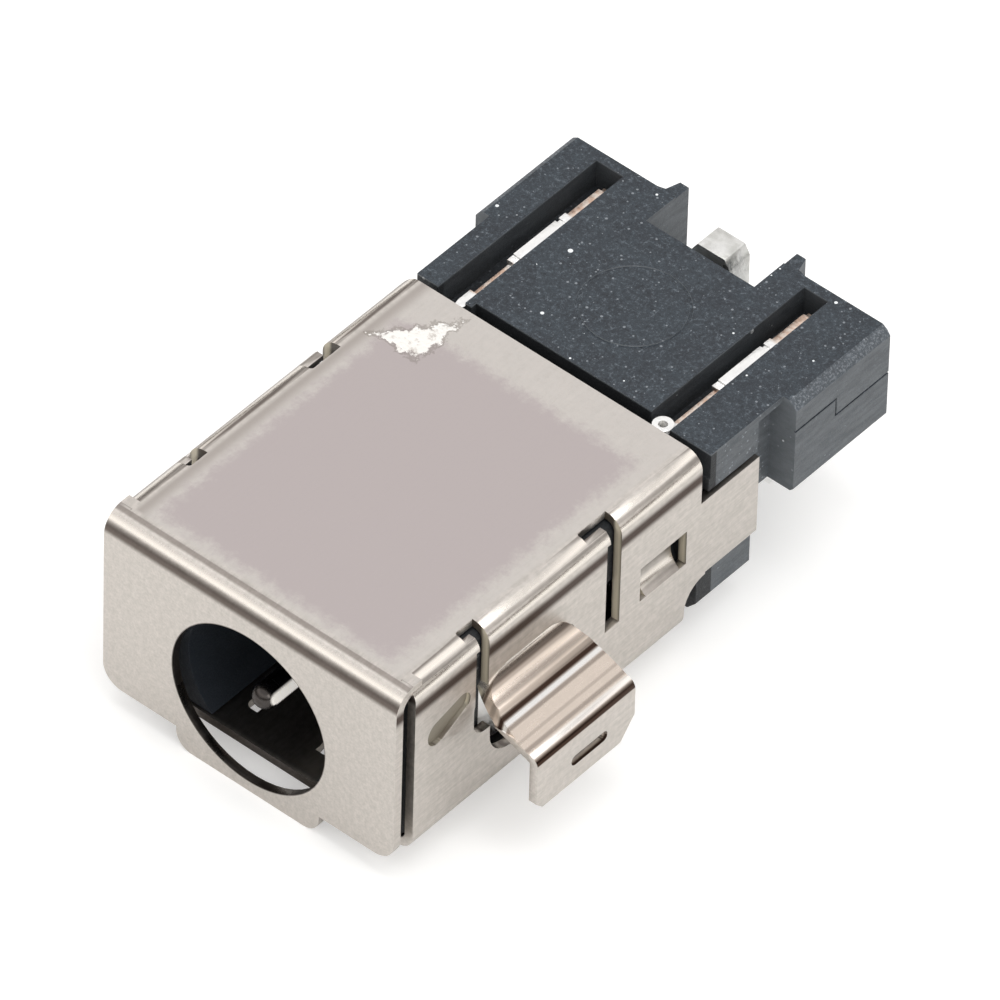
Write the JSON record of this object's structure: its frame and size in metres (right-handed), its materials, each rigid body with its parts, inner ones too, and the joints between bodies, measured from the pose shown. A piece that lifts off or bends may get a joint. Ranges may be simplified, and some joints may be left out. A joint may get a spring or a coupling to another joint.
{
  "type": "dc barrel jack",
  "caption": "Shielded mid-mount DC power jack: round mouth with a centre pin, folded shell with solder tabs, moulded housing with contact tails.",
  "frame": {"origin": "centre of the mouth on the plug axis, at the front face of the mouth plate", "axes": "+Y from the mouth to the rear along the plug axis, +Z towards the smooth top of the shell, +X to the right seen from the mouth"},
  "size_m": [0.0131, 0.018, 0.0061],
  "materials": {
    "shell": "nickel-plated stamped sheet, satin, bright on the folds",
    "housing": "black glass-filled nylon with fine glinting fibre",
    "pin": "bright plated pin",
    "terminal": "tinned, a little yellow at the upper end",
    "contact": "tinned spring strip"
  },
  "bodies": {
    "root": {"shell": "shell", "housing": "housing", "center_pin": "pin", "pin_terminal": "terminal", "left_contact": "contact", "right_contact": "contact"}
  },
  "joints": []
}
